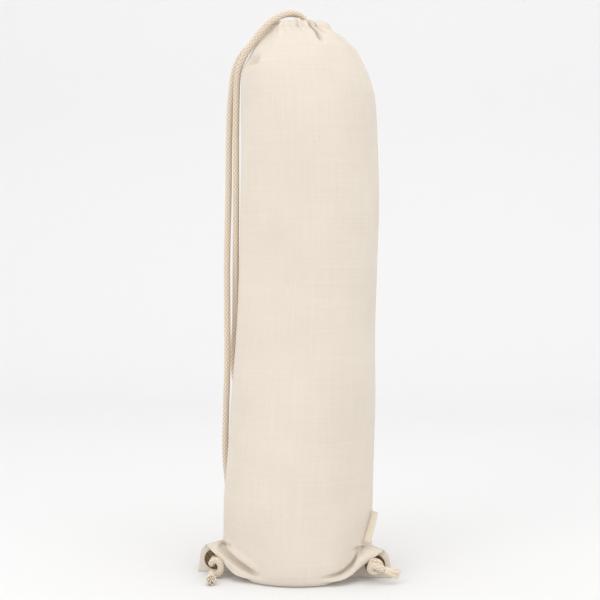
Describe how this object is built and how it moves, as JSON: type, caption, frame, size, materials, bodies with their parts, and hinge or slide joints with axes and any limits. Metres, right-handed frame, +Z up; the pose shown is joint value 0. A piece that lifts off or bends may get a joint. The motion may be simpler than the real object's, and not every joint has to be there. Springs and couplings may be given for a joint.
{
  "type": "yoga mat bag",
  "caption": "Tall drawstring yoga mat bag of natural cotton canvas with thick braided cords knotted through bottom corner eyelets",
  "frame": {"origin": "middle of the round foot and the two bottom corners, on the floor", "axes": "+Z up towards the drawstring mouth, front towards -Y, the two bottom corners along X"},
  "size_m": [0.2424, 0.1999, 0.6655],
  "materials": {
    "canvas_front": "matte",
    "canvas_back": "matte",
    "canvas_hem": "matte",
    "eyelet_metal": "satin",
    "cord_cotton": "matte",
    "label_ribbon": "matte"
  },
  "bodies": {
    "root": {"front_panel": "canvas_front", "back_panel": "canvas_back", "drawstring_tunnel": "canvas_hem", "eyelet_left": "eyelet_metal", "eyelet_right": "eyelet_metal", "cord_left": "cord_cotton", "cord_right": "cord_cotton", "knot_left": "cord_cotton", "knot_right": "cord_cotton", "cord_end_left": "cord_cotton", "cord_end_right": "cord_cotton", "seam_label": "label_ribbon"}
  },
  "joints": []
}
